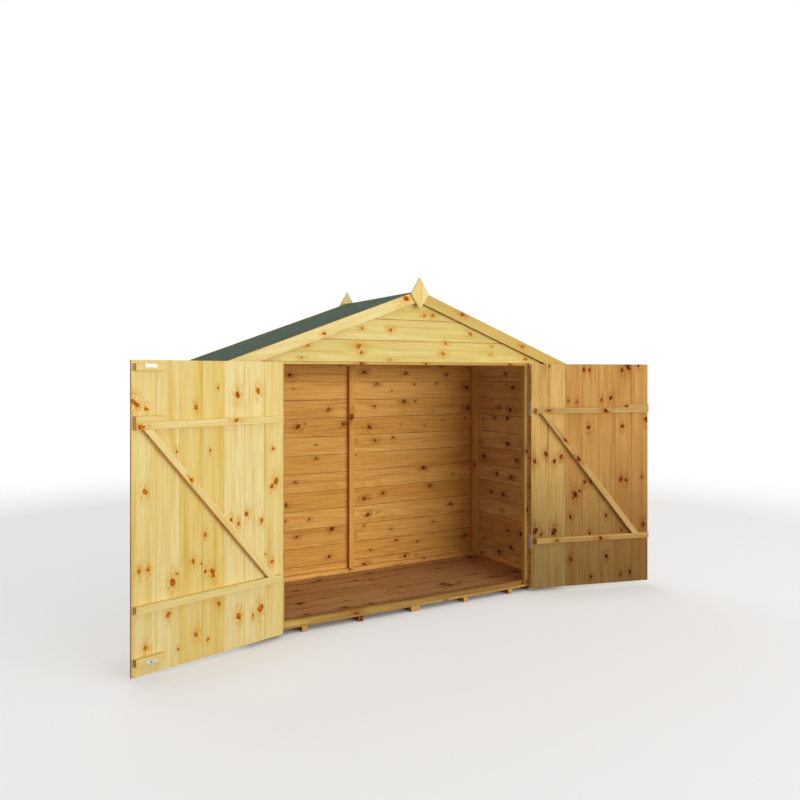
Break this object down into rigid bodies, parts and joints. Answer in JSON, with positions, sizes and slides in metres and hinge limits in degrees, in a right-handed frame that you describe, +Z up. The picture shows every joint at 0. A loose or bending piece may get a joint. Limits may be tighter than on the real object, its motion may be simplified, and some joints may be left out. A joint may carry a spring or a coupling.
{
  "type": "bike shelter",
  "caption": "Small apex bike shed in pine boards on a framed floor, with a felt roof and a pair of ledged and braced doors on butt hinges.",
  "frame": {"origin": "on the ground under the middle of the walls, halfway across the front and halfway from the front wall to the back wall", "axes": "+X to the right across the front as seen from outside, +Y from the doors to the back wall, +Z up"},
  "size_m": [3.2451, 1.1827, 1.9207],
  "materials": {
    "pine_outside": "pale dip-treated pine boards with brown knots",
    "pine_frame": "planed pine framing",
    "pine_floor": "darker treated pine floor boards",
    "pine_roof": "pine roof boards",
    "pine_door": "pale pine door boards, ledges and braces",
    "roof_felt": "green mineral felt",
    "zinc": "bright zinc plate"
  },
  "bodies": {
    "root": {"front_cladding_left": "pine_outside", "front_cladding_right": "pine_outside", "front_gable_cladding": "pine_outside", "back_wall_cladding": "pine_outside", "back_gable_cladding": "pine_outside", "left_wall_cladding": "pine_outside", "right_wall_cladding": "pine_outside", "roof_finials": "pine_outside", "front_bargeboard_left": "pine_outside", "front_bargeboard_right": "pine_outside", "back_bargeboard_left": "pine_outside", "back_bargeboard_right": "pine_outside", "header_rail": "pine_frame", "door_jambs": "pine_frame", "front_bottom_rail": "pine_frame", "back_wall_posts": "pine_frame", "back_wall_rails": "pine_frame", "left_wall_posts": "pine_frame", "right_wall_posts": "pine_frame", "left_wall_rails": "pine_frame", "right_wall_rails": "pine_frame", "ridge_rail": "pine_frame", "gable_rafters": "pine_frame", "floor_bearers_left": "pine_frame", "floor_bearers_right": "pine_frame", "floor_boards_left": "pine_floor", "floor_boards_right": "pine_floor", "roof_boards_left": "pine_roof", "roof_boards_right": "pine_roof", "roof_felt": "roof_felt", "hinge_pins": "zinc", "left_frame_hinge_leaves": "zinc", "right_frame_hinge_leaves": "zinc"},
    "left_door": {"left_door_boards": "pine_door", "left_door_ledges": "pine_door", "left_door_brace": "pine_door", "left_door_lock_block": "pine_door", "left_door_bolt_blocks": "pine_door", "left_door_hinge_leaves": "zinc", "left_door_bolt_plates": "zinc"},
    "right_door": {"right_door_boards": "pine_door", "right_door_ledges": "pine_door", "right_door_brace": "pine_door", "right_door_lock_block": "pine_door", "right_door_hinge_leaves": "zinc"}
  },
  "joints": [
    {"name": "left_door_hinge", "type": "hinge", "parent": "root", "child": "left_door", "pos_m": [-0.828, -0.445, 0], "axis": [0, 0, -1], "range_deg": [-165.2, 3]},
    {"name": "right_door_hinge", "type": "hinge", "parent": "root", "child": "right_door", "pos_m": [0.828, -0.445, 0], "axis": [0, 0, 1], "range_deg": [-164.2, 3]}
  ]
}
